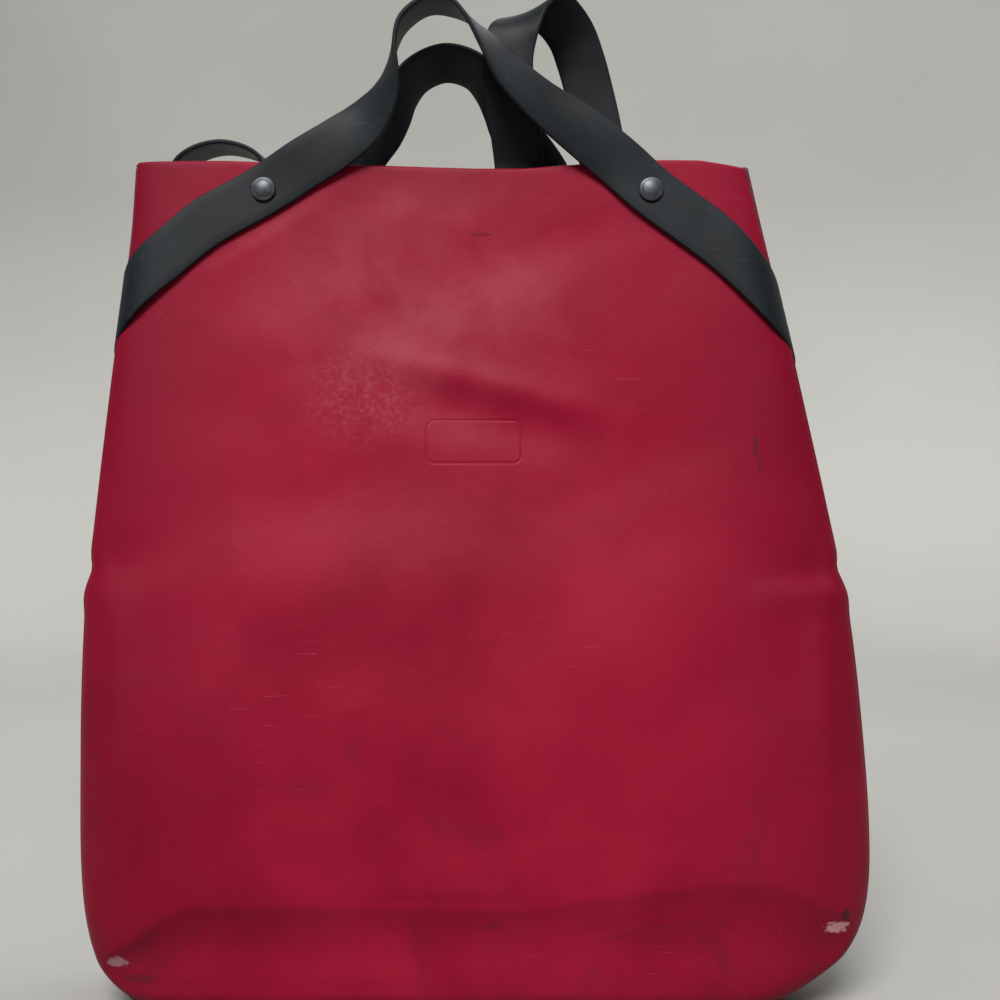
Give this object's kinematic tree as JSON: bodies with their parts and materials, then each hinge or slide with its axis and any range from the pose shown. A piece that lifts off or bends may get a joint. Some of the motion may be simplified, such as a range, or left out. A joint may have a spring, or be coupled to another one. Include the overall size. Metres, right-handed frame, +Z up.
{
  "type": "tote backpack",
  "caption": "Tall tote backpack in red coated fabric, with a flat base, folded side gussets, an open mouth, flat rubber carrying handles and shoulder straps.",
  "frame": {"origin": "middle of the base's rest face, on the surface the bag stands on", "axes": "+Z up towards the mouth, -Y out of the front, +X to the right as seen from the front"},
  "size_m": [0.3652, 0.1204, 0.4863],
  "materials": {
    "coated_fabric": "satin rubberised coating",
    "strap": "matte",
    "rivet_cap": "satin",
    "steel": "brushed",
    "lining": "matte woven",
    "board": "matte"
  },
  "bodies": {
    "root": {"front_panel_lower": "coated_fabric", "back_panel": "coated_fabric", "side_wall_left": "coated_fabric", "side_wall_right": "coated_fabric", "gusset_pleat_left": "coated_fabric", "gusset_pleat_right": "coated_fabric", "base_panel": "coated_fabric", "base_board": "board", "mouth_hem_back": "coated_fabric", "magnet_back": "steel", "laptop_sleeve": "lining", "side_strap_left": "strap", "side_strap_right": "strap", "rear_tab_left": "strap", "rear_tab_right": "strap", "shoulder_strap_left": "strap", "shoulder_strap_right": "strap", "rivet_side_left": "rivet_cap", "burr_side_left": "steel", "rivet_side_right": "rivet_cap", "burr_side_right": "steel", "rivet_handle_left": "rivet_cap", "burr_handle_left": "steel", "rivet_handle_right": "rivet_cap", "burr_handle_right": "steel", "rivet_shoulder_top_left": "rivet_cap", "burr_shoulder_top_left": "steel", "rivet_shoulder_top_right": "rivet_cap", "burr_shoulder_top_right": "steel", "rivet_shoulder_foot_left": "rivet_cap", "burr_shoulder_foot_left": "steel", "rivet_shoulder_foot_right": "rivet_cap", "burr_shoulder_foot_right": "steel"},
    "mouth_front": {"front_panel_upper": "coated_fabric", "mouth_hem_front": "coated_fabric", "magnet_front": "steel", "front_strap_left": "strap", "front_strap_right": "strap", "rivet_front_left": "rivet_cap", "burr_front_left": "steel", "rivet_front_right": "rivet_cap", "burr_front_right": "steel"},
    "front_handle": {"front_handle": "strap"},
    "rear_handle": {"rear_handle": "strap"}
  },
  "joints": [
    {"name": "mouth_open", "type": "hinge", "parent": "root", "child": "mouth_front", "pos_m": [0, -0.0345, 0.196], "axis": [1, 0, 0], "range_deg": [0, 14], "deforming": ["gusset_pleat_left", "gusset_pleat_right", "side_strap_left", "side_strap_right"]},
    {"name": "front_handle_swing", "type": "hinge", "parent": "mouth_front", "child": "front_handle", "pos_m": [0, -0.0125, 0.3923], "axis": [1, 0, 0], "range_deg": [0, 150]},
    {"name": "rear_handle_swing", "type": "hinge", "parent": "root", "child": "rear_handle", "pos_m": [0, 0.0165, 0.3922], "axis": [1, 0, 0], "range_deg": [-150, 0]}
  ]
}
